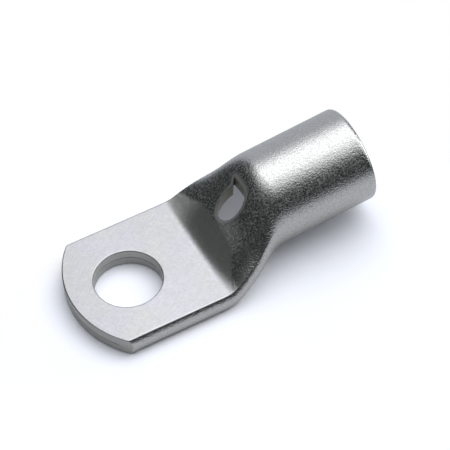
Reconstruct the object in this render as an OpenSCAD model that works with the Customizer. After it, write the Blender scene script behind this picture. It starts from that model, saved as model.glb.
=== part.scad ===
// Tubular cable lug: one length of copper tube, pressed flat and punched at one end for a stud,
// drawn through a sloping neck, and left round at the other end for the conductor.
// Millimetres, +Z up. The origin is the centre of the stud hole on the palm's underside,
// and +X runs from the stud hole to the barrel's mouth.

/* [Tube] */
// Outside diameter of the round barrel
tube_d = 15.1; // [10:0.1:24]
// Wall thickness of the tube; the pressed palm is two walls thick
wall = 1.6; // [0.9:0.1:2.2]

/* [Palm] */
// Width of the palm's flat faces, without the rounded folds at its sides
face_w = 20.7; // [16:0.1:30]
// How far each folded side stands out past the flat faces
fold_bulge = 0.65; // [0.3:0.05:0.85]
// Distance from the stud hole's centre to the tip
tip_reach = 9.4; // [8:0.1:14]
// Radius of the tip's curved end face
tip_r = 15.2; // [13:0.1:30]
// Radius of the two corners where the tip meets the sides
corner_r = 1.6; // [0.5:0.1:3]
// Distance from the stud hole's centre to the shoulder, where the palm ends
shoulder_x = 11.2; // [9:0.1:18]

/* [Stud hole] */
// Diameter of the stud hole
stud_d = 10.5; // [6:0.1:13]
// Depth of the edge that the punch rolls over at the top of the stud hole
roll_over = 0.2; // [0.1:0.05:0.4]

/* [Seam] */
// Height of the open seam between the two pressed walls, at the tip and in the stud hole
seam_h = 0.12; // [0.06:0.02:0.3]
// Depth of the open seam
seam_depth = 0.3; // [0.1:0.05:0.6]

/* [Neck] */
// Length of the neck along X, from the shoulder to the round barrel
neck_l = 12.35; // [9:0.05:20]
// Share of the neck over which its top curves up out of the palm
rise_start = 0.2; // [0.1:0.05:0.4]
// Share of the neck over which its top curves into the barrel
rise_end = 0.35; // [0.1:0.05:0.5]
// Share of the neck over which its sides curve inward from the palm
waist_start = 0.6; // [0.2:0.05:0.7]
// Share of the neck over which its sides curve into the barrel
waist_end = 0.25; // [0.1:0.05:0.4]

/* [Barrel] */
// Length of the round barrel, from the neck to the mouth
barrel_l = 15.6; // [8:0.1:40]
// Angle at which the barrel rises from the palm's plane
barrel_tilt = 5; // [0:0.5:8]
// Distance from the shoulder at which the underside turns up towards the barrel
heel_l = 7.2; // [5:0.1:8.5]
// Radius of the mouth's outer edge
mouth_r = 0.8; // [0.2:0.05:0.85]
// Width of the bevel at the mouth's inner edge
mouth_bevel = 0.3; // [0.1:0.05:0.4]

/* [Sight hole] */
// Length of the oval sight hole in the neck's top wall, seen from above
sight_d = 4.6; // [2:0.1:5]
// Width of the oval
sight_w = 3.4; // [1.8:0.1:4]
// Direction of the oval's length, turned from +Y towards -X
sight_turn = 30; // [0:5:60]
// Distance from the shoulder to the oval's centre
sight_l = 6.55; // [6:0.05:7.5]
// Sideways offset of the oval's centre from the tube's middle
sight_side = -0.2; // [-0.5:0.05:0.5]
// Distance along Y from the oval's centre to the hole's pointed corner
sight_point = 2.2; // [1.9:0.1:2.8]

/* [Hidden] */
$fn = 96;

tube_r = tube_d / 2;
bore_r = tube_r - wall;
palm_t = 2 * wall;
half_face = face_w / 2;
tip_centre_x = tip_r - tip_reach;
neck_end_x = shoulder_x + neck_l;
heel_x = shoulder_x + heel_l;

// Each fold is an arc through the edges of the two flat faces.
fold_r = (pow(wall, 2) + pow(fold_bulge, 2)) / (2 * fold_bulge);
fold_centre_y = half_face + fold_bulge - fold_r;
fold_span = asin(wall / fold_r);
fold_length = fold_r * fold_span * PI / 180;
palm_half_w = half_face + fold_bulge;

// The neck's skins are swept rings, a hair inside the true solids that they run into.
ring_points = 64;
outer_rings = 26;
inner_rings = 20;
inset = 0.02;
overlap = 0.4;
// Share of the neck at which the cavity has closed up to a slit
cavity_start = 0.1;
slit_half_h = 0.02;
// Share of the wall by which the cavity is moved along, so that the sloping wall keeps
// about its full thickness
shift_share = 0.5;
// Height at which the sight hole's punch stops inside the tube, as a share of the bore
punch_stop = 0.45;
// How far a cut runs on past the face that it starts from
margin = 1;

// Height of the barrel's axis where the neck ends
neck_end_z = (neck_end_x - heel_x) * tan(barrel_tilt) + tube_r / cos(barrel_tilt);

// Falls from 1 to 0 as share runs from 0 to 1: straight, with a curved start and end.
function fall(share, start, end) =
    let (slope = 1 / (1 - (start + end) / 2))
    share <= 0 ? 1 :
    share >= 1 ? 0 :
    share < start ? 1 - slope * pow(share, 2) / (2 * start) :
    share > 1 - end ? slope * pow(1 - share, 2) / (2 * end) :
    1 - slope * (share - start / 2);

function mix(from, to, share) = from + (to - from) * share;

// Share of the way from the side of the section (0) to its top or bottom (1)
function climb(angle) = 1 - abs(angle % 180 - 90) / 90;

// Point of the flat palm's outline: equal angles round the tube take equal lengths of wall.
function flat_outer(angle) =
    let (run = climb(angle) * (fold_length + half_face))
    run < fold_length
        ? [sign(cos(angle)) * (fold_centre_y + fold_r * cos(run / fold_r * 180 / PI)),
           sign(sin(angle)) * fold_r * sin(run / fold_r * 180 / PI)]
        : [sign(cos(angle)) * (half_face + fold_length - run), sign(sin(angle)) * wall];

// Point of the closed slit between the two pressed walls
function flat_inner(angle) =
    [sign(cos(angle)) * (palm_half_w - wall) * (1 - climb(angle)),
     sign(sin(angle)) * slit_half_h * min(1, 4 * climb(angle))];

function round_point(angle, radius) = radius * [cos(angle), sin(angle)];

// Height of the underside: level as far as the heel, then rising with the barrel
function underside(x) = max(0, x - heel_x) * tan(barrel_tilt);

// One point of a neck ring. Share 0 is the shoulder and share 1 the round barrel; past
// either end the ring runs on inside the palm or the barrel.
function neck_point(share, angle, flat, round, half_t, half_round, shift) =
    let (
        flatness = fall(share, rise_start, rise_end),
        wideness = fall(share, waist_start, waist_end),
        tilt = barrel_tilt * (1 - flatness),
        x = shoulder_x + share * neck_l,
        half_h = mix(tube_r, wall, flatness) / cos(tilt),
        across = mix(round[0], flat[0], wideness),
        up = mix(round[1], flat[1], flatness)
    )
    [x + shift - up * sin(tilt), across, underside(x) + half_h + up * cos(tilt)];

function outer_ring(share) =
    [for (i = [0:ring_points - 1])
        let (
            angle = 360 * i / ring_points,
            flat = flat_outer(angle),
            scale_in = 1 - inset / wall,
            trim = [flat[0] - sign(flat[0]) * inset, flat[1] * scale_in]
        )
        neck_point(share, angle, trim, round_point(angle, tube_r - inset), wall, tube_r, 0)];

cavity_shift = wall * shift_share;
function inner_ring(share) =
    [for (i = [0:ring_points - 1])
        let (angle = 360 * i / ring_points)
        neck_point(share, angle, flat_inner(angle), round_point(angle, bore_r - inset),
                   wall, tube_r, cavity_shift)];

// Closed solid through a list of rings that each have the same number of points
module sweep(rings) {
    count = len(rings[0]);
    last = len(rings) - 1;
    points = [for (ring = rings) each ring];
    sides = [for (r = [0:last - 1], i = [0:count - 1])
        let (next = (i + 1) % count, a = r * count, b = a + count)
        each [[a + i, b + next, a + next], [a + i, b + i, b + next]]];
    start_cap = [[for (i = [0:count - 1]) i]];
    end_cap = [[for (i = [0:count - 1]) last * count + count - 1 - i]];
    polyhedron(points, concat(sides, start_cap, end_cap));
}

module outer_neck() {
    lead = overlap / neck_l;
    sweep([for (i = [0:outer_rings]) outer_ring(mix(-lead, 1 + lead, i / outer_rings))]);
}

module neck_cavity() {
    lead = overlap / neck_l;
    sweep([for (i = [0:inner_rings]) inner_ring(mix(cavity_start, 1 + lead, i / inner_rings))]);
}

// Plan of the palm: a broad arc at the tip, meeting straight sides in two round corners
module palm_plan() {
    corner_y = palm_half_w - corner_r;
    corner_x = tip_centre_x - sqrt(pow(tip_r - corner_r, 2) - pow(corner_y, 2));
    meeting_y = corner_y * tip_r / (tip_r - corner_r);
    intersection() {
        translate([tip_centre_x, 0]) circle(tip_r, $fn = 180);
        translate([-tip_reach - margin, -meeting_y])
            square([tip_reach + margin + shoulder_x, 2 * meeting_y]);
    }
    translate([corner_x, -palm_half_w]) square([shoulder_x - corner_x, 2 * palm_half_w]);
    for (side = [-1, 1]) translate([corner_x, side * corner_y]) circle(corner_r, $fn = 48);
}

// End view of the palm: two flat faces between rounded folds
module palm_section() {
    square([2 * half_face, palm_t], center = true);
    intersection() {
        square([2 * (palm_half_w + margin), palm_t], center = true);
        union() for (side = [-1, 1]) translate([side * fold_centre_y, 0]) circle(fold_r);
    }
}

module palm() {
    length = tip_reach + shoulder_x;
    intersection() {
        linear_extrude(palm_t) palm_plan();
        translate([-tip_reach, 0, palm_t / 2]) rotate([90, 0, 90])
            linear_extrude(length) palm_section();
    }
}

// Everything that follows the barrel's own axis is drawn along +Z from the neck's end.
module on_barrel() {
    translate([neck_end_x, 0, neck_end_z]) rotate([0, 90 - barrel_tilt, 0]) children();
}

module barrel() {
    on_barrel() rotate_extrude() {
        square([tube_r, barrel_l - mouth_r]);
        square([tube_r - mouth_r, barrel_l]);
        translate([tube_r - mouth_r, barrel_l - mouth_r]) intersection() {
            circle(mouth_r);
            square(mouth_r);
        }
    }
}

// The bore runs past the neck's end, to take up the cavity's shift.
module bore() {
    start = cavity_shift;
    mouth = barrel_l - mouth_bevel;
    on_barrel() {
        translate([0, 0, start]) cylinder(h = barrel_l - start + margin, r = bore_r);
        translate([0, 0, mouth])
            rotate_extrude() polygon([[0, 0], [bore_r, 0], [bore_r + mouth_bevel, mouth_bevel],
                                      [bore_r + mouth_bevel, mouth_bevel + margin],
                                      [0, mouth_bevel + margin]]);
    }
}

module stud_hole() {
    translate([0, 0, -margin]) cylinder(h = palm_t + 2 * margin, d = stud_d);
    translate([0, 0, palm_t - roll_over])
        rotate_extrude() polygon([[0, 0], [stud_d / 2, 0], [stud_d / 2 + roll_over, roll_over],
                                  [stud_d / 2 + roll_over, margin], [0, margin]]);
}

// The pressed walls show a fine open line where they meet, round the tip and in the hole.
module seam() {
    translate([0, 0, palm_t / 2 - seam_h / 2]) {
        cylinder(h = seam_h, r = stud_d / 2 + seam_depth);
        intersection() {
            translate([tip_centre_x, 0, 0]) difference() {
                cylinder(h = seam_h, r = tip_r + margin, $fn = 180);
                translate([0, 0, -margin])
                    cylinder(h = seam_h + 2 * margin, r = tip_r - seam_depth, $fn = 180);
            }
            translate([-tip_reach - margin, -palm_half_w + wall, 0])
                cube([tip_reach + margin, 2 * (palm_half_w - wall), seam_h]);
        }
    }
}

// An oval punch with one pointed corner, cut straight down through the neck's sloping top
// wall. The corner lies on the oval's uphill side, which runs on straight to it.
module sight_hole() {
    long_r = sight_d / 2;
    short_r = sight_w / 2;
    uphill = norm([long_r * sin(sight_turn), short_r * cos(sight_turn)]);
    tangent_y = (pow(short_r, 2) - pow(long_r, 2)) * sin(2 * sight_turn) / (2 * uphill);
    translate([shoulder_x + sight_l, sight_side, wall + (bore_r - wall) * punch_stop])
        linear_extrude(tube_d) {
            rotate(sight_turn) scale([short_r, long_r]) circle(1, $fn = 64);
            polygon([[0, 0], [uphill, tangent_y], [uphill, sight_point]]);
        }
}

module cable_lug() {
    color("silver") difference() {
        union() {
            palm();
            outer_neck();
            barrel();
        }
        neck_cavity();
        bore();
        stud_hole();
        seam();
        sight_hole();
    }
}

cable_lug();
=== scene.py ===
"""Tinned tubular cable lug: a tube pressed flat for a stud at one end and left round at the other.

The lug is laid out as if its whole tube were pressed flat, and a node tree opens it up along
the neck and the barrel. Sizes are in metres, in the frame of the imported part.
"""

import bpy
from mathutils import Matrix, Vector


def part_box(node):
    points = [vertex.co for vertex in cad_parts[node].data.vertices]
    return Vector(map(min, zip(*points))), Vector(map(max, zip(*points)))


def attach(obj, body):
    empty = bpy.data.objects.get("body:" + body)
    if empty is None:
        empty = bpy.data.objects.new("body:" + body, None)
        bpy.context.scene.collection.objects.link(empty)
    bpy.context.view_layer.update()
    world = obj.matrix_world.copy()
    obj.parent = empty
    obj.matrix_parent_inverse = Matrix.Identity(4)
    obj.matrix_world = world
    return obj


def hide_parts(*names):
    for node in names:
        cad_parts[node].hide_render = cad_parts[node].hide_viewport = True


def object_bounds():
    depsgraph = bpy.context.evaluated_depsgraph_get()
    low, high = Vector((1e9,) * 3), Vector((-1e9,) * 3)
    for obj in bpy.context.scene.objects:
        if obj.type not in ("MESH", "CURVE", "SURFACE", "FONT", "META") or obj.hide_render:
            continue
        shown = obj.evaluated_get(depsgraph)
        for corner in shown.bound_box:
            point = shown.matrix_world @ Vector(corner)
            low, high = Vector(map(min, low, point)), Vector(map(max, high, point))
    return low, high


bl_info = {
    "name": "Tubular cable lug",
    "version": (1, 0, 0),
    "blender": (4, 5, 0),
    "location": "View3D > Sidebar > Cable lug",
    "description": "Builds a tinned cable lug and its stage",
    "category": "Add Mesh",
}

from math import asin, atan2, cos, pi, radians, sin, sqrt

import bmesh
import bpy
from mathutils import Matrix, Vector, noise

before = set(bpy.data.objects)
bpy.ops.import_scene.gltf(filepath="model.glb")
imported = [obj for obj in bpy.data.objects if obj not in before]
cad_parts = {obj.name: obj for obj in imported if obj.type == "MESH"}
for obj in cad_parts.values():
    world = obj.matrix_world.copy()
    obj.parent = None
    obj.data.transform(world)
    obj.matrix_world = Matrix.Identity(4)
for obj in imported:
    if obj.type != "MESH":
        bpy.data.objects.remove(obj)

NODE = "cable_lug"
BODY = "root"
MM = 0.001
CAD_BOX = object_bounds()
LOW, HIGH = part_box(NODE)


# ---- node wiring


def arithmetic(operation, swapped=False):
    """A method of Wire for one of Python's operators."""

    def method(self, other):
        values = (other, self) if swapped else (self, other)
        return self.bench.math(operation, *values)

    return method


class Wire:
    """A socket's output. Python's operators on it add Math nodes."""

    def __init__(self, bench, socket):
        self.bench = bench
        self.socket = socket

    def __neg__(self):
        return 0.0 - self

    __add__ = __radd__ = arithmetic("ADD")
    __mul__ = __rmul__ = arithmetic("MULTIPLY")
    __sub__ = arithmetic("SUBTRACT")
    __rsub__ = arithmetic("SUBTRACT", swapped=True)
    __truediv__ = arithmetic("DIVIDE")
    __rtruediv__ = arithmetic("DIVIDE", swapped=True)
    __pow__ = arithmetic("POWER")
    __gt__ = arithmetic("GREATER_THAN")
    __lt__ = arithmetic("LESS_THAN")


class Bench:
    """Adds nodes to one tree, for shaders and geometry alike."""

    def __init__(self, tree):
        self.tree = tree

    def node(self, kind, settings=None, sockets=None):
        """A node of that kind: its settings first, then the values or links of its sockets."""
        made = self.tree.nodes.new(kind)
        for name, value in (settings or {}).items():
            setattr(made, name, value)
        for key, value in (sockets or {}).items():
            if isinstance(value, Wire):
                self.tree.links.new(value.socket, made.inputs[key])
            else:
                made.inputs[key].default_value = value
        return made

    def out(self, kind, settings=None, sockets=None, socket=0):
        """One output of a new node, as a wire."""
        return Wire(self, self.node(kind, settings, sockets).outputs[socket])

    def end(self, shader, kind="ShaderNodeOutputMaterial"):
        """An output node that shows that shader."""
        self.node(kind, None, {"Surface": Wire(self, shader.outputs[0])})

    def math(self, operation, *values):
        return self.out("ShaderNodeMath", {"operation": operation}, dict(enumerate(values)))

    def least(self, a, b):
        return self.math("MINIMUM", a, b)

    def most(self, a, b):
        return self.math("MAXIMUM", a, b)

    def clamp(self, value):
        return self.least(self.most(value, 0.0), 1.0)

    def smooth_step(self, value, start, end):
        """0 before start, 1 after end, and a smooth curve between them."""
        share = self.clamp((value - start) / (end - start))
        return share * share * (3.0 - 2.0 * share)

    def mix(self, share, a, b):
        """Numbers: a at share 0, b at share 1."""
        return a + (b - a) * share

    def mix_colour(self, share, a, b):
        """Colours: a at share 0, b at share 1."""
        settings = {"data_type": "RGBA", "clamp_factor": True}
        return self.out("ShaderNodeMix", settings, {0: share, 6: a, 7: b}, 2)

    def vector(self, operation, *values, socket=0):
        kind = "ShaderNodeVectorMath"
        return self.out(kind, {"operation": operation}, dict(enumerate(values)), socket)

    def scale(self, value, factor):
        """A vector or a colour, times a number."""
        settings = {"operation": "SCALE"}
        return self.out("ShaderNodeVectorMath", settings, {0: value, "Scale": factor})

    def join(self, x, y, z):
        return self.out("ShaderNodeCombineXYZ", None, {0: x, 1: y, 2: z})

    def split(self, value):
        made = self.node("ShaderNodeSeparateXYZ", None, {0: value})
        return [Wire(self, made.outputs[i]) for i in range(3)]


def cleared(owner):
    """The bench for the emptied node tree of a material or world."""
    owner.use_nodes = True
    owner.node_tree.nodes.clear()
    return Bench(owner.node_tree)


def new_object(name, made):
    """An object in the scene with that bmesh as its mesh."""
    mesh = bpy.data.meshes.new(name)
    made.to_mesh(mesh)
    made.free()
    added = bpy.data.objects.new(name, mesh)
    bpy.context.scene.collection.objects.link(added)
    return added


def quarter_turn(steps):
    """(sine, 1 - cosine) at each step of a quarter turn."""
    turns = [pi / 2 * i / steps for i in range(steps + 1)]
    return [(sin(turn), 1 - cos(turn)) for turn in turns]


# ---- kinds of setting


def number(name, description, default, **how):
    return bpy.props.FloatProperty(name=name, description=description, default=default, **how)


def numbers(name, description, default, **how):
    return bpy.props.FloatVectorProperty(
        name=name, description=description, default=default, size=len(default), **how
    )


def length(name, description, millimetres):
    default = millimetres * MM
    return number(name, description, default, subtype="DISTANCE", unit="LENGTH", precision=5)


def angle(name, description, degrees):
    return number(name, description, radians(degrees), subtype="ANGLE", unit="ROTATION")


def share(name, description, default):
    return number(name, description, default, min=0.0, max=1.0, subtype="FACTOR")


def place(name, description, default):
    return numbers(name, description, default, subtype="TRANSLATION", unit="LENGTH")


def colour(name, description, default):
    return numbers(name, description, default, min=0.0, max=2.0, subtype="COLOR")


# ---- sizes


class LugSizes(bpy.types.PropertyGroup):
    """Sizes of the lug."""

    tube_diameter: length("Tube diameter", "Outside diameter of the round barrel", 15.1)
    wall: length("Wall", "Wall thickness of the tube", 1.6)
    fold_bulge: length("Fold bulge", "How far each fold stands out past the faces", 0.65)
    palm_width: length("Palm width", "Width of the palm over its folds", (HIGH.y - LOW.y) / MM)
    edge_round: length("Edge rounding", "Reach of the rounding between face and fold", 0.13)
    tip_reach: length("Tip reach", "From the stud hole's centre to the tip", -LOW.x / MM)
    tip_radius: length("Tip radius", "Radius of the tip's curved end", 15.2)
    corner_radius: length("Corner radius", "Radius between the tip and the sides", 1.6)
    shoulder: length("Shoulder", "From the stud hole's centre to the palm's end", 11.2)
    stud_diameter: length("Stud hole", "Diameter of the stud hole", 10.5)
    roll_over: length("Roll-over", "Depth of the edges that the tools roll over", 0.22)
    seam_height: length("Seam height", "Height of the open seam between the walls", 0.12)
    seam_depth: length("Seam depth", "Depth of the open seam", 0.3)
    neck_length: length("Neck length", "From the shoulder to the round barrel", 12.35)
    rise_start: share("Rise start", "Share of the neck where its top leaves the palm", 0.2)
    rise_end: share("Rise end", "Share of the neck where its top joins the barrel", 0.35)
    waist_start: share("Waist start", "Share of the neck where its sides leave the palm", 0.6)
    waist_end: share("Waist end", "Share of the neck where its sides join the barrel", 0.25)
    barrel_length: length("Barrel length", "From the neck to the mouth", 15.6)
    barrel_tilt: angle("Barrel tilt", "Rise of the barrel from the palm's plane", 5.0)
    heel: length("Heel", "From the shoulder to where the underside turns up", 7.2)
    mouth_round: length("Mouth rounding", "Radius of the mouth's outer edge", 0.8)
    mouth_bevel: length("Mouth bevel", "Width of the mouth's inner bevel", 0.3)
    sight_length: length("Sight hole length", "Length of the oval, in plan", 4.6)
    sight_width: length("Sight hole width", "Width of the oval", 3.4)
    sight_turn: angle("Sight hole turn", "Turn of the oval from across the lug", 30.0)
    sight_place: length("Sight hole place", "From the shoulder to the oval's centre", 6.55)
    sight_side: length("Sight hole offset", "From the lug's middle to the oval's centre", -0.2)
    sight_corner: length("Sight hole corner", "From the oval's centre across to the corner", 2.2)
    rim_width: length("Rim width", "Width of the rim round the sight hole", 1.3)
    rim_depth: length("Rim depth", "How deep the sight hole's rim is drawn in", 0.5)


class PressedOutline:
    """The section of the pressed tube, and where each of its points lies on the round tube.

    Steps count a quarter's points. They lie closest in the middle, for the sight hole.
    """

    FOLD_STEPS = 9
    EDGE_STEPS = 8
    FACE_STEPS = 26
    MIDDLE_STEPS = 24
    MIDDLE = 3.0 * MM
    SLIT = 0.02 * MM

    def __init__(self, sizes):
        self.wall = sizes.wall
        self.half_width = sizes.palm_width / 2
        self.half_face = self.half_width - sizes.fold_bulge
        self.fold_radius = (sizes.wall**2 + sizes.fold_bulge**2) / (2 * sizes.fold_bulge)
        self.fold_centre = self.half_width - self.fold_radius
        self.fold_span = asin(sizes.wall / self.fold_radius)
        self.fold_length = self.fold_radius * self.fold_span
        self.edge = sizes.edge_round
        self.quarter = self.fold_length + self.half_face
        self.bore = sizes.tube_diameter / 2 - sizes.wall
        self.runs = self.quarter_runs()
        self.face_start = self.FOLD_STEPS + self.EDGE_STEPS + 1

    def quarter_runs(self):
        """Distances along the section from its side to the middle of its top."""
        fold_end = self.fold_length - self.edge
        face_start = self.fold_length + 1.6 * self.edge
        runs = [fold_end * i / self.FOLD_STEPS for i in range(self.FOLD_STEPS)]
        runs += [fold_end + 2 * self.edge * i / self.EDGE_STEPS for i in range(self.EDGE_STEPS + 1)]
        middle = self.quarter - self.MIDDLE
        face = middle - face_start
        runs += [face_start + face * i / self.FACE_STEPS for i in range(self.FACE_STEPS)]
        runs += [middle + self.MIDDLE * i / self.MIDDLE_STEPS for i in range(self.MIDDLE_STEPS + 1)]
        return runs

    def outer(self, run):
        """The pressed outline's point, (across, up), in the first quarter."""
        if run < self.fold_length:
            turn = run / self.fold_radius
            across = self.fold_centre + self.fold_radius * cos(turn)
            up = self.fold_radius * sin(turn)
        else:
            across = self.half_face + self.fold_length - run
            up = self.wall
        cut = max(self.edge - abs(run - self.fold_length), 0.0) ** 2 / (4 * self.edge)
        across += cut * (sin(self.fold_span) - 1)
        return across, up - cut * cos(self.fold_span)

    def inner(self, run):
        """The same for the closed slit between the two pressed walls."""
        climb = run / self.quarter
        return (self.half_width - self.wall) * (1 - climb), self.SLIT * min(1.0, 4 * climb)

    def places(self):
        """(run, turn, side sign, height sign) of every line round the section, in order."""
        last = len(self.runs) - 1
        found = []
        for quarter, (side, top) in enumerate(((1, 1), (-1, 1), (-1, -1), (1, -1))):
            steps = range(last) if quarter % 2 == 0 else range(last, 0, -1)
            for i in steps:
                climb = self.runs[i] / self.quarter * pi / 2
                turn = climb if side * top > 0 else -climb
                start = (0, pi, pi, 2 * pi)[quarter]
                found.append((i, start + turn, side, top))
        return found


# ---- the pressed blank


class PressedLug:
    """Mesh of the lug with its whole tube still pressed flat.

    Each vertex lies at its place along the lug and on the pressed section. An attribute
    gives the place on the round tube that it opens to.
    """

    SAME_WITHIN = 1e-8
    ROUND_STUD = 160
    NECK_STEPS = (22, 76, 18)
    BARREL_STEPS = 26
    LIP_STEPS = 9
    BEVEL_STEPS = 4
    BORE_STEPS = 20
    CAVITY_STEPS = 55
    CAVITY_START = 0.1

    def __init__(self, sizes):
        self.sizes = sizes
        self.outline = PressedOutline(sizes)
        self.lines = self.outline.places()
        self.radius = sizes.tube_diameter / 2
        self.tip_centre = sizes.tip_radius - sizes.tip_reach
        self.corner_y = self.outline.half_width - sizes.corner_radius
        reach = sizes.tip_radius - sizes.corner_radius
        self.corner_x = self.tip_centre - sqrt(reach**2 - self.corner_y**2)
        self.meeting_y = self.corner_y * sizes.tip_radius / reach
        self.keys = {}
        self.pressed = []
        self.opened = []
        self.skins = []
        self.faces = []

    def point(self, x, y, z, opened=(0.0, 0.0), skin=0.0, radius=0.0):
        """Index of the vertex there. Equal points share one."""
        key = tuple(round(value / self.SAME_WITHIN) for value in (x, y, z, radius))
        if key not in self.keys:
            self.keys[key] = len(self.pressed)
            self.pressed.append((x, y, z))
            self.opened.append((0.0, *opened))
            self.skins.append(skin)
        return self.keys[key]

    def face(self, corners):
        kept = [c for i, c in enumerate(corners) if c != corners[i - 1]]
        if len(set(kept)) > 2:
            self.faces.append(kept)

    def grid(self, rows, closed=False):
        for first, second in zip(rows, rows[1:]):
            count = len(first)
            for i in range(count if closed else count - 1):
                j = (i + 1) % count
                self.face([first[i], first[j], second[j], second[i]])

    def section_point(self, line, x, radius=None, inner=False):
        """Vertex on one line round the section, at x, that opens to a tube of that radius."""
        step, turn, side, top = line
        run = self.outline.runs[step]
        across, up = self.outline.inner(run) if inner else self.outline.outer(run)
        radius = self.radius if radius is None else radius
        opened = (radius * cos(turn), radius * sin(turn))
        skin = 1.0 if inner else 0.0
        tag = radius if inner or radius != self.radius else 0.0
        return self.point(x, side * across, top * up, opened, skin, tag)

    def tip_x(self, y):
        """Where the palm's outline ends at that distance from the middle."""
        y = min(abs(y), self.outline.half_width)
        if y < self.meeting_y:
            return self.tip_centre - sqrt(self.sizes.tip_radius**2 - y**2)
        corner = self.sizes.corner_radius**2 - (y - self.corner_y) ** 2
        return self.corner_x - sqrt(max(corner, 0.0))

    def sheared_profile(self, seam):
        """(depth in from the edge, height as a share of the wall) down a sheared edge.

        It rolls over, is burnished down to the seam, and is torn back below it to a burr.
        """
        roll = self.sizes.roll_over
        wall = self.sizes.wall
        seam_top = self.sizes.seam_height / 2 / wall
        margin = 0.4 * roll
        torn = 0.06 * MM
        burr = 0.1 * MM
        roll_steps, burr_steps = 6, 3
        profile = [(roll + margin, 1.0)]
        for sine, drop in quarter_turn(roll_steps):
            profile.append((roll * (1 - sine), 1 - roll / wall * drop))
        profile += [(0.0, 0.6), (0.0, 0.3), (0.0, seam_top)]
        profile += [(seam, seam_top * 0.6), (seam, -seam_top * 0.6), (0.1 * torn, -seam_top)]
        profile += [(0.4 * torn, -0.3), (torn, -0.7)]
        for sine, drop in quarter_turn(burr_steps):
            profile.append((torn + burr * drop, -1 + burr / wall * (1 - sine)))
        profile.append((torn + burr + margin, -1.0))
        return profile

    def tip_column(self, line):
        """Vertices down the tip's end face, in the plane of one line of the section."""
        step, _, side, _ = line
        across, up = self.outline.outer(self.outline.runs[step])
        scale = up / self.outline.wall
        start = self.tip_x(across)
        open_width = self.outline.half_width - self.outline.wall
        seam_fade = 0.6 * MM
        fade = min(max((open_width - across) / seam_fade, 0.0), 1.0)
        return [
            self.point(start + depth * scale, side * across, height * up)
            for depth, height in self.sheared_profile(self.sizes.seam_depth * fade)
        ]

    def side_line(self, line, start):
        """Vertices along one line of a fold, from the tip to the shoulder."""
        stops = (0.0, 0.06, 0.3, 0.55, 0.8, 0.96, 1.0)
        end = self.sizes.shoulder
        return [self.section_point(line, start + (end - start) * stop) for stop in stops]

    def palm(self):
        """Tip and folds; gives the loops round the top and the bottom face, to be filled."""
        face_start = self.outline.face_start
        count = len(self.lines)
        half = count // 2
        columns = [self.tip_column(line) for line in self.lines[: half + 1]]
        self.grid(columns)
        loops = []
        for level, end in ((1, 0), (-1, -1)):
            sides = []
            for first in (0, half):
                strips = []
                for i in range(face_start + 1):
                    offset = i if (first == 0) == (level > 0) else -i
                    index = (first + offset) % count
                    column = i if first == 0 else half - i
                    start = self.pressed[columns[column][end]][0]
                    strips.append(self.side_line(self.lines[index], start))
                self.grid(strips)
                sides.append(strips[-1])
            flat = range(face_start, half - face_start + 1)
            tip = [columns[i][end] for i in flat]
            lines = [self.lines[(level * i) % count] for i in flat]
            shoulder = [self.section_point(line, self.sizes.shoulder) for line in lines]
            loops.append(tip + sides[1][1:] + shoulder[::-1][1:] + sides[0][::-1][1:-1])
        return loops

    def stud_hole(self):
        """The punched hole: rolled top edge, burnished wall, seam, torn lower wall."""
        radius = self.sizes.stud_diameter / 2
        tears_round, tears_down, tear_depth = 9, 2.5, 0.09 * MM
        rings = []
        for depth, height in self.sheared_profile(self.sizes.seam_depth):
            torn = -0.75 < height < 0.05 and depth < self.sizes.seam_depth
            ring = []
            for i in range(self.ROUND_STUD):
                turn = 2 * pi * i / self.ROUND_STUD
                cosine, sine = cos(turn), sin(turn)
                reach = radius + depth
                if torn:
                    spot = Vector((tears_round * cosine, tears_round * sine, tears_down * height))
                    reach += tear_depth * max(noise.noise(spot), 0.0)
                ring.append(self.point(reach * cosine, reach * sine, height * self.outline.wall))
            rings.append(ring)
        self.grid(rings, closed=True)
        return rings[0], rings[-1]

    def neck_places(self):
        """Places of the neck's rings along the lug, closer together round the sight hole."""
        start = self.sizes.shoulder
        end = start + self.sizes.neck_length
        centre = start + self.sizes.sight_place
        reach = self.sizes.sight_length / 2 + self.sizes.rim_width
        stops = (start, centre - reach, centre + reach, end)
        places = []
        for near, far, steps in zip(stops, stops[1:], self.NECK_STEPS):
            places += [near + (far - near) * i / steps for i in range(steps)]
        return places

    def ring(self, x, radius=None, inner=False):
        return [self.section_point(line, x, radius, inner) for line in self.lines]

    def barrel_ring(self, along, radius=None, inner=False):
        """A ring at that distance from the neck, measured up the barrel's slope."""
        neck_end = self.sizes.shoulder + self.sizes.neck_length
        return self.ring(neck_end + along * cos(self.sizes.barrel_tilt), radius, inner)

    def outside_rings(self):
        """Rings from the shoulder to the mouth and over its rounded lip."""
        sizes = self.sizes
        rings = [self.ring(x) for x in self.neck_places()]
        straight = sizes.barrel_length - sizes.mouth_round
        for i in range(self.BARREL_STEPS):
            rings.append(self.barrel_ring(straight * i / self.BARREL_STEPS))
        for sine, drop in quarter_turn(self.LIP_STEPS):
            reach = self.radius - sizes.mouth_round * drop
            rings.append(self.barrel_ring(straight + sizes.mouth_round * sine, reach))
        # The mouth's flat end stops just short of the bevel, so that the two stay apart.
        flat_end = self.outline.bore + sizes.mouth_bevel * 1.2
        rings.append(self.barrel_ring(sizes.barrel_length, flat_end))
        return rings

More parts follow.
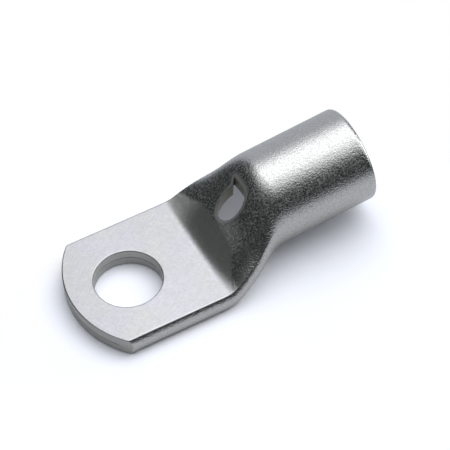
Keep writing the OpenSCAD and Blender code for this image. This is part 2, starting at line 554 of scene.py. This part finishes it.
    def inside_rings(self):
        """Rings from the mouth's bevel back along the bore and into the neck's cavity."""
        sizes = self.sizes
        bore = self.outline.bore
        rings = []
        for sine, drop in quarter_turn(self.BEVEL_STEPS):
            along = sizes.barrel_length - sizes.mouth_bevel * drop
            rings.append(self.barrel_ring(along, bore + sizes.mouth_bevel * (1 - sine), inner=True))
        start = sizes.barrel_length - sizes.mouth_bevel
        for i in range(1, self.BORE_STEPS):
            rings.append(self.barrel_ring(start * (1 - i / self.BORE_STEPS), bore, inner=True))
        for i in range(self.CAVITY_STEPS + 1):
            part = 1 - (1 - self.CAVITY_START) * i / self.CAVITY_STEPS
            rings.append(self.ring(sizes.shoulder + sizes.neck_length * part, bore, inner=True))
        return rings

    def tube(self):
        """Neck and barrel, with the cavity closed where the walls are pressed together."""
        rings = self.outside_rings() + self.inside_rings()
        self.grid(rings, closed=True)
        last = rings[-1]
        count = len(last)
        for i in range(count // 2):
            self.face([last[i], last[i + 1], last[-(i + 1) % count], last[-i % count]])

    def build(self, name):
        """The mesh object, with the flat faces filled in between their edges and the stud hole."""
        self.tube()
        loops = self.palm()
        hole = self.stud_hole()
        made = bmesh.new()
        opened = made.verts.layers.float_vector.new("opened")
        skin = made.verts.layers.float.new("skin")
        for place, target, side in zip(self.pressed, self.opened, self.skins):
            vertex = made.verts.new(place)
            vertex[opened] = target
            vertex[skin] = side
        made.verts.ensure_lookup_table()
        for corners in self.faces:
            made.faces.new([made.verts[i] for i in corners])
        for outer, inner in zip(loops, hole):
            edges = []
            for loop in (outer, inner):
                for i, corner in enumerate(loop):
                    pair = (made.verts[corner], made.verts[loop[i - 1]])
                    edges.append(made.edges.get(pair) or made.edges.new(pair))
            bmesh.ops.triangle_fill(made, use_beauty=True, edges=edges)
        bmesh.ops.recalc_face_normals(made, faces=made.faces)
        return new_object(name, made)


def sight_outline(sizes):
    """Plan of the sight hole: an oval whose uphill side runs on straight to a pointed corner."""
    long, short = sizes.sight_length / 2, sizes.sight_width / 2
    cosine, sine = cos(sizes.sight_turn), sin(sizes.sight_turn)

    def oval(turn):
        x, y = short * cos(turn), long * sin(turn)
        return x * cosine - y * sine, x * sine + y * cosine

    start = atan2(-long * sine, short * cosine)
    uphill = oval(start)
    corner = (uphill[0], sizes.sight_corner)
    across = corner[1] * cosine - corner[0] * sine
    along = corner[0] * cosine + corner[1] * sine
    flank = atan2(across / long, along / short)
    sweep = 2 * pi + start - flank
    round_steps, side_steps = 80, 14
    outline = [oval(flank + sweep * i / round_steps) for i in range(round_steps + 1)]
    # The oval ends at the uphill point, so the first side starts one step on.
    for a, b, first in ((uphill, corner, 1), (corner, outline[0], 0)):
        for i in range(first, side_steps):
            part = i / side_steps
            outline.append((a[0] + (b[0] - a[0]) * part, a[1] + (b[1] - a[1]) * part))
    return outline


def sight_punch(sizes):
    """A pin of the sight hole's outline, standing over the cavity, as a cutter."""
    outline = sight_outline(sizes)
    stop_share = 0.45
    bore = sizes.tube_diameter / 2 - sizes.wall
    stop = sizes.wall + (bore - sizes.wall) * stop_share
    clear = sizes.tube_diameter * 1.5
    centre = Vector((sizes.shoulder + sizes.sight_place, sizes.sight_side, 0.0))
    made = bmesh.new()
    rings = []
    for level in (stop, clear):
        rings.append([made.verts.new(centre + Vector((x, y, level))) for x, y in outline])
    count = len(outline)
    for i in range(count):
        j = (i + 1) % count
        made.faces.new([rings[0][i], rings[0][j], rings[1][j], rings[1][i]])
    made.faces.new(rings[0][::-1])
    made.faces.new(rings[1])
    bmesh.ops.recalc_face_normals(made, faces=made.faces)
    return new_object("sight_punch", made)


# ---- opening the tube


class OpeningTree:
    """Geometry nodes that open the pressed tube along its neck and punch the sight hole."""

    HEEL_CURVE = 1.0 * MM
    DISH_START = -0.5 * MM
    DISH_END = 1.2 * MM
    UPHILL_DISH = 0.1
    SHARP_BEND = radians(28.0)
    FLOATS = ("tube_diameter", "wall", "shoulder", "neck_length", "rise_start", "rise_end")
    FLOATS += ("waist_start", "waist_end", "barrel_tilt", "heel")
    FLOATS += ("sight_place", "rim_width", "rim_depth")

    def __init__(self):
        self.tree = bpy.data.node_groups.new("open_the_tube", "GeometryNodeTree")
        self.bench = Bench(self.tree)
        sockets = [("Geometry", "INPUT", "Geometry")]
        sockets += [(name.replace("_", " "), "INPUT", "Float") for name in self.FLOATS]
        sockets += [("sight punch", "INPUT", "Object"), ("finish", "INPUT", "Material")]
        sockets += [("Geometry", "OUTPUT", "Geometry")]
        for name, side, kind in sockets:
            kind = "NodeSocket" + kind
            self.tree.interface.new_socket(name=name, in_out=side, socket_type=kind)
        entry = self.bench.node("NodeGroupInput")
        self.inputs = {s.name.replace(" ", "_"): Wire(self.bench, s) for s in entry.outputs if s.name}
        self.build()

    def fall(self, along, start, end):
        """From 1 to 0 as along runs from 0 to 1: straight, with a curved start and end."""
        b = self.bench
        along = b.clamp(along)
        slope = 1.0 / (1.0 - (start + end) * 0.5)
        near = b.least(along, start)
        far = b.most(along - 1.0 + end, 0.0)
        gone = near * near / (2.0 * start) + b.most(along - start, 0.0) - far * far / (2.0 * end)
        return 1.0 - slope * gone

    def underside(self, x):
        """Height of the underside: level up to the heel, then rising with the barrel."""
        b = self.bench
        i = self.inputs
        curve = self.HEEL_CURVE
        past = x - i["shoulder"] - i["heel"]
        bend = b.least(b.most(past + curve, 0.0), 2.0 * curve)
        run = bend * bend / (4.0 * curve) + b.most(past - curve, 0.0)
        return run * b.math("TANGENT", i["barrel_tilt"])

    def opened_place(self):
        """Where each vertex of the pressed lug goes."""
        b = self.bench
        i = self.inputs
        x, y, z = b.split(b.out("GeometryNodeInputPosition"))
        named = {"data_type": "FLOAT_VECTOR"}
        opened = b.out("GeometryNodeInputNamedAttribute", named, {"Name": "opened"})
        _, open_y, open_z = b.split(opened)
        skin = b.out("GeometryNodeInputNamedAttribute", {"data_type": "FLOAT"}, {"Name": "skin"})
        along = (x - i["shoulder"]) / i["neck_length"]
        flatness = self.fall(along, i["rise_start"], i["rise_end"])
        wideness = self.fall(along, i["waist_start"], i["waist_end"])
        tilt = i["barrel_tilt"] * (1.0 - flatness)
        half_tube = i["tube_diameter"] * 0.5
        half = b.mix(flatness, half_tube, i["wall"]) / b.math("COSINE", tilt)
        across = b.mix(wideness, open_y, y)
        up = b.mix(flatness, open_z, z)
        # The cavity is moved along, so that the sloping wall keeps its thickness.
        shift = skin * i["wall"] * 0.5 * flatness
        place_x = x + shift - up * b.math("SINE", tilt)
        place_z = self.underside(x) + half + up * b.math("COSINE", tilt)
        return b.join(place_x, across, place_z), skin

    def rim(self, punch, skin):
        """1 at the sight hole's edge on the outside, falling to 0, and how deep it is drawn."""
        b = self.bench
        target = {"target_element": "FACES"}
        gap = b.out("GeometryNodeProximity", target, {0: punch}, "Distance")
        x, _, height = b.split(b.out("GeometryNodeInputPosition"))
        outside = (height > self.inputs["wall"] * 2.0) * (1.0 - skin)
        downhill = self.inputs["shoulder"] + self.inputs["sight_place"] - x
        dished = b.mix(b.smooth_step(downhill, self.DISH_START, self.DISH_END), self.UPHILL_DISH, 1.0)
        rim = (1.0 - b.clamp(gap / self.inputs["rim_width"])) * outside
        return rim, rim**2.0 * dished * self.inputs["rim_depth"]

    def build(self):
        b = self.bench
        i = self.inputs
        place, skin = self.opened_place()
        tube = b.out("GeometryNodeSetPosition", None, {"Geometry": i["Geometry"], "Position": place})
        punch = b.out("GeometryNodeObjectInfo", None, {"Object": i["sight_punch"]}, "Geometry")
        rim, draw = self.rim(punch, skin)
        marking = {"Geometry": tube, "Name": "rim", "Value": rim}
        marked = b.out("GeometryNodeStoreNamedAttribute", None, marking)
        drawing = {"Geometry": marked, "Offset": b.join(0.0, 0.0, -draw)}
        drawn = b.out("GeometryNodeSetPosition", None, drawing)
        cutting = {"operation": "DIFFERENCE", "solver": "MANIFOLD"}
        meshes = {"Mesh 1": drawn, "Mesh 2": punch}
        solid = b.out("GeometryNodeMeshBoolean", cutting, meshes, "Mesh")
        rounded = {"Geometry": solid, "Shade Smooth": True}
        smooth = b.out("GeometryNodeSetShadeSmooth", {"domain": "FACE"}, rounded)
        bend = b.out("GeometryNodeInputMeshEdgeAngle")
        creased = {"Geometry": smooth, "Selection": bend > self.SHARP_BEND, "Shade Smooth": False}
        sharp = b.out("GeometryNodeSetShadeSmooth", {"domain": "EDGE"}, creased)
        real = b.out("GeometryNodeRealizeInstances", None, {"Geometry": sharp})
        done = b.out("GeometryNodeSetMaterial", None, {"Geometry": real, "Material": i["finish"]})
        b.node("NodeGroupOutput", None, {"Geometry": done})

    def apply(self, piece, sizes, punch, finish):
        """Runs the tree on the pressed lug and keeps its result as a plain mesh."""
        modifier = piece.modifiers.new("open", "NODES")
        modifier.node_group = self.tree
        values = {name.replace("_", " "): getattr(sizes, name) for name in self.FLOATS}
        values["sight punch"] = punch
        values["finish"] = finish
        for item in self.tree.interface.items_tree:
            if item.in_out == "INPUT" and item.name in values:
                modifier[item.identifier] = values[item.name]
        graph = bpy.context.evaluated_depsgraph_get()
        pressed = piece.data
        made = bpy.data.meshes.new_from_object(piece.evaluated_get(graph))
        piece.modifiers.remove(modifier)
        piece.data = made
        made.name = piece.name
        bpy.data.meshes.remove(pressed)


# ---- finishes


class TinFinish(bpy.types.PropertyGroup):
    """The tin plating and its wear, with a pale colour inside the tube that paints light there.
    Dullness is the share that scatters light.
    """

    tin: colour("Tin", "Colour of the plating", (0.53, 0.535, 0.535))
    # Painted light: the inside is coloured far paler than the outside tin, standing in for light
    # reaching the bore through the mouth and the sight hole.
    pale_bore_painted_light: colour("Bore", "Colour inside the tube", (0.9, 0.91, 0.93))
    punched: colour("Punched", "Colour of the sight hole's punched walls", (0.43, 0.42, 0.37))
    bore_roughness: share("Bore roughness", "Roughness inside the tube", 0.5)
    face_roughness: share("Face roughness", "Roughness of the pressed faces", 0.33)
    skin_roughness: share("Skin roughness", "Roughness of the tumbled outside", 0.2)
    grain_height: length("Grain height", "Height of the tumbled grain", 0.058)
    dent_height: length("Dent height", "Height of the shallow dents", 0.01)
    scratch_height: length("Scratch height", "Height of the pressed faces' fine marks", 0.012)
    speck_dullness: share("Specks", "Dullness of the specks on the tumbled outside", 0.34)
    scuff_dullness: share("Scuff", "Dullness of the scuff beside the sight hole", 0.3)
    face_dullness: share("Faces", "Dullness of the palm's pressed face", 0.05)
    die_dullness: share("Die mark", "Dullness of the facet that the die pressed", 0.18)
    patch_dullness: share("Pale patch", "Further dullness at the facet's far end", 0.5)
    rim_dullness: share("Rim", "Dullness of the sight hole's drawn rim", 0.4)
    sheared_dullness: share("Sheared walls", "Dullness of the tip and the stud hole's wall", 0.48)
    punched_dullness: share("Punched walls", "Dullness of the sight hole's walls", 0.3)
    bore_dullness: share("Bore dullness", "Dullness of the bore at its mouth", 0.3)
    frosted_dullness: share("Frosting", "Dullness of the cavity under the sight hole", 0.97)


def tinted(plating, tint=(1.0, 1.0, 1.0)):
    """A colour for a socket, times a tint."""
    return (*(value * share for value, share in zip(plating, tint)), 1.0)


class TinShader:
    """One metal for the whole lug, with the wear of each part as it was worked, painted shade towards
    the tip and painted light inside the tube.

    Places and distances in its tree are in millimetres.
    """

    def __init__(self, finish, sizes):
        self.finish = finish
        self.sizes = sizes
        self.material = bpy.data.materials.new("tinned_copper")
        self.bench = b = cleared(self.material)
        self.place = b.scale(b.out("ShaderNodeTexCoord", socket="Object"), 1 / MM)
        self.x, self.y, self.z = b.split(self.place)
        self.shoulder = sizes.shoulder / MM
        self.neck = sizes.neck_length / MM
        self.thick = 2 * sizes.wall / MM
        self.pressed_zones()
        self.cut_zones()
        self.wear()
        self.build()

    def noise(self, scale, detail=2.0, roughness=0.5, distortion=0.0, place=None):
        values = {"Vector": place or self.place, "Scale": scale, "Detail": detail}
        values |= {"Roughness": roughness, "Distortion": distortion}
        return self.bench.out("ShaderNodeTexNoise", None, values)

    def scratches(self, degrees, across, along):
        """Fine parallel marks, turned by that angle in plan."""
        rotation = (0.0, 0.0, radians(degrees))
        values = {"Vector": self.place, "Rotation": rotation, "Scale": (along, across, 1.0)}
        turned = self.bench.out("ShaderNodeMapping", {"vector_type": "TEXTURE"}, values)
        return self.noise(1.0, roughness=0.6, place=turned)

    def attribute(self, name):
        return self.bench.out("ShaderNodeAttribute", {"attribute_name": name}, None, "Fac")

    def pressed_zones(self):
        """Where the tools pressed: the palm's top face and the die mark on the neck's facet."""
        b = self.bench
        self.on_top = b.smooth_step(self.z, self.thick - 0.2, self.thick - 0.05)
        palm = 1.0 - b.smooth_step(self.x, self.shoulder + 0.6, self.shoulder + 1.5)
        self.face = self.on_top * palm
        # The die mark's end wanders, and leans back past the flanks.
        flank, near_lean, far_lean, wander = 4.7, 0.54, 0.2, 0.8
        lean = b.most(-self.y - flank, 0.0) * near_lean + b.most(self.y - flank, 0.0) * far_lean
        edge = self.x + lean + (self.noise(0.7) - 0.5) * wander
        die_end = self.shoulder + 4.0
        pressed = 1.0 - b.smooth_step(edge, die_end - 0.3, die_end + 0.3)
        self.die_mark = pressed * self.on_top * (1.0 - palm)
        self.worked = b.clamp(self.face + self.die_mark)

    def cut_zones(self):
        """The sight hole's rim and walls, the sheared walls, the inside, and what is left."""
        b = self.bench
        self.inside = self.attribute("skin")
        self.rim = b.smooth_step(self.attribute("rim"), 0.5, 0.85)
        facing_x, _, facing_z = b.split(b.out("ShaderNodeNewGeometry", socket="True Normal"))
        upright = b.math("ABSOLUTE", facing_z) < 0.05
        in_neck = (self.x > self.shoulder) * (self.x < self.shoulder + self.neck)
        near_hole = b.math("ABSOLUTE", self.y) < self.sizes.sight_length / MM
        self.punched = upright * in_neck * near_hole * (self.z > self.thick)
        off_stud = b.math("SQRT", self.x * self.x + self.y * self.y)
        stud_wall = off_stud < self.sizes.stud_diameter / MM / 2 + 0.4
        tip = (facing_x < -0.45) * (self.x < 0.0)
        self.sheared = b.clamp(stud_wall + tip) * (1.0 - self.on_top)
        tumbled = (1.0 - self.worked) * (1.0 - self.inside) * (1.0 - self.rim)
        self.tumbled = tumbled * (1.0 - self.punched) * (1.0 - self.sheared)

    def wear(self):
        """Patterns of wear, each about 0."""
        self.grain = self.noise(3.9, roughness=0.6, distortion=0.6) - 0.5
        self.dents = self.noise(1.3) - 0.5
        self.mottle = self.noise(2.4, 3.0, 0.7) - 0.5
        self.hatch = self.scratches(32.0, 0.09, 2.2) + self.scratches(-41.0, 0.08, 1.8) - 1.0

    def relief(self):
        """Normal of the surface, with its grain, dents and fine marks."""
        dents = self.dents * self.finish.dent_height
        rough = self.tumbled * (self.grain * self.finish.grain_height + dents)
        fine = self.worked * (self.hatch * self.finish.scratch_height + dents)
        values = {"Height": rough + fine, "Distance": 1.0, "Strength": 1.0}
        return self.bench.out("ShaderNodeBump", None, values)

    def plating(self):
        """Colour: cloudy and mottled on the pressed faces, with painted shade darker towards the tip,
        and paler inside the tube as painted light.
        """
        b = self.bench
        warm = tinted(self.finish.tin, (0.99, 0.985, 0.96))
        violet = tinted(self.finish.tin, (1.0, 0.98, 1.02))
        clouds = b.smooth_step(self.noise(0.22), 0.35, 0.65) * self.face
        # Painted shade: the pressed faces are darkened towards the tip, where their reflection of the
        # soft box falls off; mottle and hatch are real wear.
        painted_shade_to_tip = 1.0 - b.smooth_step(self.x, -9.0, 2.0)
        wear_and_painted_shade = self.mottle * 0.4 + self.hatch * 0.3 - 0.02 - painted_shade_to_tip * 0.07
        plating = b.scale(b.mix_colour(clouds, warm, violet), 1.0 + self.worked * wear_and_painted_shade)
        plating = b.mix_colour(self.punched, plating, tinted(self.finish.punched))
        # Painted light: the pale bore colour makes the inside of the tube read as lit.
        return b.mix_colour(self.inside, plating, tinted(self.finish.pale_bore_painted_light))

    def roughness(self):
        b = self.bench
        finish = self.finish
        outside = b.mix(self.tumbled, finish.face_roughness, finish.skin_roughness)
        return b.mix(self.inside, outside + self.dents * 0.08, finish.bore_roughness)

    def dullness(self):
        """Share of the surface that scatters light where bare tin would mirror it."""
        b = self.bench
        finish = self.finish
        near_side = 1.0 - b.smooth_step(self.y, -8.5, -5.0)
        specks = b.smooth_step(self.noise(3.4, roughness=0.65, distortion=0.5), 0.46, 0.6)
        scuff = (self.shoulder + 4.3, -3.0, 7.0)
        off_scuff = b.vector("DISTANCE", self.place, scuff, socket=1)
        scuffed = (1.0 - b.smooth_step(off_scuff, 0.5, 4.0)) * finish.scuff_dullness
        skin = self.tumbled * (specks * (finish.speck_dullness - near_side * 0.2) + scuffed)
        far_end = b.smooth_step(self.y, 3.5, 8.0)
        patch = far_end * (finish.patch_dullness + self.mottle * 0.8)
        die_mark = self.die_mark * (finish.die_dullness + self.mottle * 0.25 + patch)
        face = self.face * finish.face_dullness
        cut = self.rim * finish.rim_dullness + self.sheared * finish.sheared_dullness
        cut = cut + self.punched * finish.punched_dullness
        frosted = 1.0 - b.smooth_step(self.x, self.shoulder + 10.0, self.shoulder + 18.0)
        bore = self.inside * b.mix(frosted, finish.bore_dullness, finish.frosted_dullness)
        return b.most(skin + die_mark + face + cut, bore)

    def build(self):
        values = {
            "Base Color": self.plating(),
            "Roughness": self.roughness(),
            "Metallic": 1.0 - self.dullness(),
            "Normal": self.relief(),
        }
        self.bench.end(self.bench.node("ShaderNodeBsdfPrincipled", None, values))


# ---- the stage


class StageSettings(bpy.types.PropertyGroup):
    """Floor, light and camera."""

    camera_turn: angle("Camera turn", "Turn round the lug, from the front", -26.583)
    camera_height: angle("Camera height", "Angle above the floor", 50.916)
    camera_roll: angle("Camera roll", "Turn about its own axis", -2.802)
    camera_distance: length("Camera distance", "From the point it aims at", 332.6)
    camera_lens: number("Lens", "Focal length in millimetres", 176.0, min=1.0)
    aim: place("Aim", "The point aimed at, from the lug's middle", (0.00146, -0.00021, -0.00254))
    paper: colour("Paper", "Colour of the floor, as it lights the lug", (0.8, 0.81, 0.83))
    paper_seen: colour("Paper seen", "Colour of the floor to the camera", (1.22, 1.245, 1.32))
    paper_glossy: share("Paper in metal", "Share of the seen colour in reflections", 0.1)
    paper_reach: length("Paper reach", "Radius of the paper", 58)
    paper_forward: length("Paper forward", "From the lug to the paper's centre", 40)
    dim: colour("Dim room", "Colour of the room in front and aside", (0.034, 0.042, 0.04, 1.0))
    back: colour("Back wall", "Colour of the room behind", (0.58, 0.6, 0.66, 1.0))
    box_strength: number("Soft box", "Radiance of the overhead soft box", 2.5)
    box_depth: numbers("Box depth", "Near edge, its fade, far edge, its fade", (0.22, 0.96, 0.5, 0.64))
    box_width: numbers("Box width", "Left edge, its fade, right edge, its fade", (0.2, 1.3, 1.2, 1.0))
    fill_strength: number("Fill", "Radiance of the fill lamp facing the mouth", 5.0)


class RoomShader:
    """The world: a soft box overhead, a pale back wall and a fill lamp in a dim room.

    The camera itself sees plain white.
    """

    def __init__(self, settings):
        self.settings = settings
        self.world = bpy.data.worlds.new("room")
        self.bench = b = cleared(self.world)
        self.way = b.out("ShaderNodeTexCoord", socket="Generated")
        _, _, self.height = b.split(self.way)
        turn = settings.camera_turn
        self.behind = self.along(-sin(turn), cos(turn), 0.0)
        self.aside = self.along(cos(turn), sin(turn), 0.0)
        self.build()

    def along(self, *direction):
        """How far one looks along that direction."""
        return self.bench.vector("DOT_PRODUCT", self.way, direction, socket=1)

    def strip(self, value, limits):
        """1 between two edges, with a fade outside each."""
        start, start_fade, end, end_fade = limits
        rise = self.bench.smooth_step(value, start - start_fade, start)
        return rise * (1.0 - self.bench.smooth_step(value, end, end + end_fade))

    def back_wall(self):
        b = self.bench
        level = b.math("SQRT", b.most(1.0 - self.height * self.height, 0.0001))
        return b.smooth_step(self.behind / level, 0.74, 0.95)

    def soft_box(self):
        """A box that lies flat, one unit up, with its edges at set distances along it."""
        raised = self.bench.most(self.height, 0.06)
        depth = self.strip(self.behind / raised, self.settings.box_depth)
        width = self.strip(self.aside / raised, self.settings.box_width)
        return depth * width * (self.height > 0.05)

    def fill_lamp(self):
        """A round lamp in front of the mouth, low over the floor."""
        return self.bench.smooth_step(self.along(0.998, 0.0, 0.06), 0.955, 0.985)

    def build(self):
        b = self.bench
        settings = self.settings
        daylight = (0.985, 0.99, 1.02)
        box = tinted([settings.box_strength] * 3, daylight)
        fill = tinted([settings.fill_strength] * 3)
        room = b.mix_colour(self.back_wall(), settings.dim, settings.back)
        room = b.mix_colour(self.soft_box(), room, box)
        room = b.mix_colour(self.fill_lamp(), room, fill)
        camera_ray = b.out("ShaderNodeLightPath", socket="Is Camera Ray")
        seen = b.mix_colour(camera_ray, room, (1.0, 1.0, 1.0, 1.0))
        shader = b.node("ShaderNodeBackground", None, {"Color": seen, "Strength": 1.0})
        b.end(shader, "ShaderNodeOutputWorld")


class StageMaker:
    """Puts the floor, the room and the camera round the lug."""

    SINK = 0.02 * MM

    def __init__(self, settings):
        self.settings = settings
        self.scene = bpy.context.scene
        self.middle = (Vector(CAD_BOX[0]) + Vector(CAD_BOX[1])) / 2

    def axes(self):
        """The camera's right, up and back."""
        turn = self.settings.camera_turn
        height = self.settings.camera_height
        roll = self.settings.camera_roll
        level = cos(height)
        back = Vector((sin(turn) * level, -cos(turn) * level, sin(height)))
        right = Vector((cos(turn), sin(turn), 0.0))
        up = back.cross(right)
        rolled_right = right * cos(roll) + up * sin(roll)
        rolled_up = up * cos(roll) - right * sin(roll)
        return rolled_right, rolled_up, back

    def camera(self):
        lens = bpy.data.cameras.new("camera")
        lens.lens = self.settings.camera_lens
        lens.sensor_width = 36.0
        lens.clip_start = 0.01
        lens.clip_end = 20.0
        camera = bpy.data.objects.new("camera", lens)
        right, up, back = self.axes()
        place = self.middle + Vector(self.settings.aim) + back * self.settings.camera_distance
        turned = Matrix((right, up, back)).transposed().to_4x4()
        camera.matrix_world = Matrix.Translation(place) @ turned
        self.scene.collection.objects.link(camera)
        self.scene.camera = camera

    def paper(self, centre):
        """White to the camera, and ending softly just behind the lug."""
        settings = self.settings
        material = bpy.data.materials.new("paper")
        b = cleared(material)
        rays = b.node("ShaderNodeLightPath")
        seen = b.clamp(
            Wire(b, rays.outputs["Is Camera Ray"])
            + Wire(b, rays.outputs["Is Glossy Ray"]) * settings.paper_glossy
            + Wire(b, rays.outputs["Is Transmission Ray"])
        )
        shade = b.mix_colour(seen, tinted(settings.paper), tinted(settings.paper_seen))
        sheet = b.out("ShaderNodeBsdfDiffuse", None, {"Color": shade})
        clear = b.out("ShaderNodeBsdfTransparent")
        place = b.out("ShaderNodeTexCoord", socket="Object")
        off_centre = b.vector("DISTANCE", place, tuple(centre), socket=1)
        reach = settings.paper_reach
        past_end = b.smooth_step(off_centre, reach * 0.88, reach)
        b.end(b.node("ShaderNodeMixShader", None, {0: past_end, 1: sheet, 2: clear}))
        return material

    def floor(self):
        made = bmesh.new()
        reach = self.settings.paper_reach
        bmesh.ops.create_circle(made, cap_ends=True, segments=96, radius=reach)
        floor = new_object("floor", made)
        y = self.middle.y - self.settings.paper_forward
        centre = Vector((self.middle.x, y, LOW.z - self.SINK))
        floor.data.transform(Matrix.Translation(centre))
        floor.data.materials.append(self.paper(centre))

    def build(self):
        self.floor()
        self.scene.world = RoomShader(self.settings).world
        self.camera()
        self.scene.view_settings.view_transform = "Standard"


# ---- operators and panel


class LUG_OT_make(bpy.types.Operator):
    """Press, open and punch the cable lug"""

    bl_idname = "cable_lug.make"
    bl_label = "Make the cable lug"
    bl_options = {"REGISTER", "UNDO"}

    def execute(self, context):
        sizes = context.scene.lug_sizes
        finish = TinShader(context.scene.lug_finish, sizes).material
        piece = PressedLug(sizes).build("tinned_lug")
        punch = sight_punch(sizes)
        OpeningTree().apply(piece, sizes, punch, finish)
        bpy.data.meshes.remove(punch.data)
        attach(piece, BODY)
        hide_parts(NODE)
        return {"FINISHED"}


class LUG_OT_stage(bpy.types.Operator):
    """Set the paper floor, the soft light and the camera round the lug"""

    bl_idname = "cable_lug.stage"
    bl_label = "Set the stage"
    bl_options = {"REGISTER", "UNDO"}

    def execute(self, context):
        StageMaker(context.scene.lug_stage).build()
        return {"FINISHED"}


class LUG_PT_panel(bpy.types.Panel):
    """Sizes, finish and stage of the cable lug"""

    bl_label = "Cable lug"
    bl_idname = "LUG_PT_panel"
    bl_space_type = "VIEW_3D"
    bl_region_type = "UI"
    bl_category = "Cable lug"

    def draw(self, context):
        for name, group in GROUPS.items():
            box = self.layout.box()
            box.label(text=name.replace("_", " ").capitalize())
            for setting in group.__annotations__:
                box.prop(getattr(context.scene, name), setting)
        self.layout.operator(LUG_OT_make.bl_idname)
        self.layout.operator(LUG_OT_stage.bl_idname)


GROUPS = {"lug_sizes": LugSizes, "lug_finish": TinFinish, "lug_stage": StageSettings}
CLASSES = (*GROUPS.values(), LUG_OT_make, LUG_OT_stage, LUG_PT_panel)


def register():
    for cls in CLASSES:
        bpy.utils.register_class(cls)
    for name, group in GROUPS.items():
        setattr(bpy.types.Scene, name, bpy.props.PointerProperty(type=group))


def unregister():
    for name in GROUPS:
        delattr(bpy.types.Scene, name)
    for cls in reversed(CLASSES):
        bpy.utils.unregister_class(cls)


def main():
    register()
    bpy.ops.cable_lug.make()
    bpy.ops.cable_lug.stage()


if __name__ == "__main__":
    main()
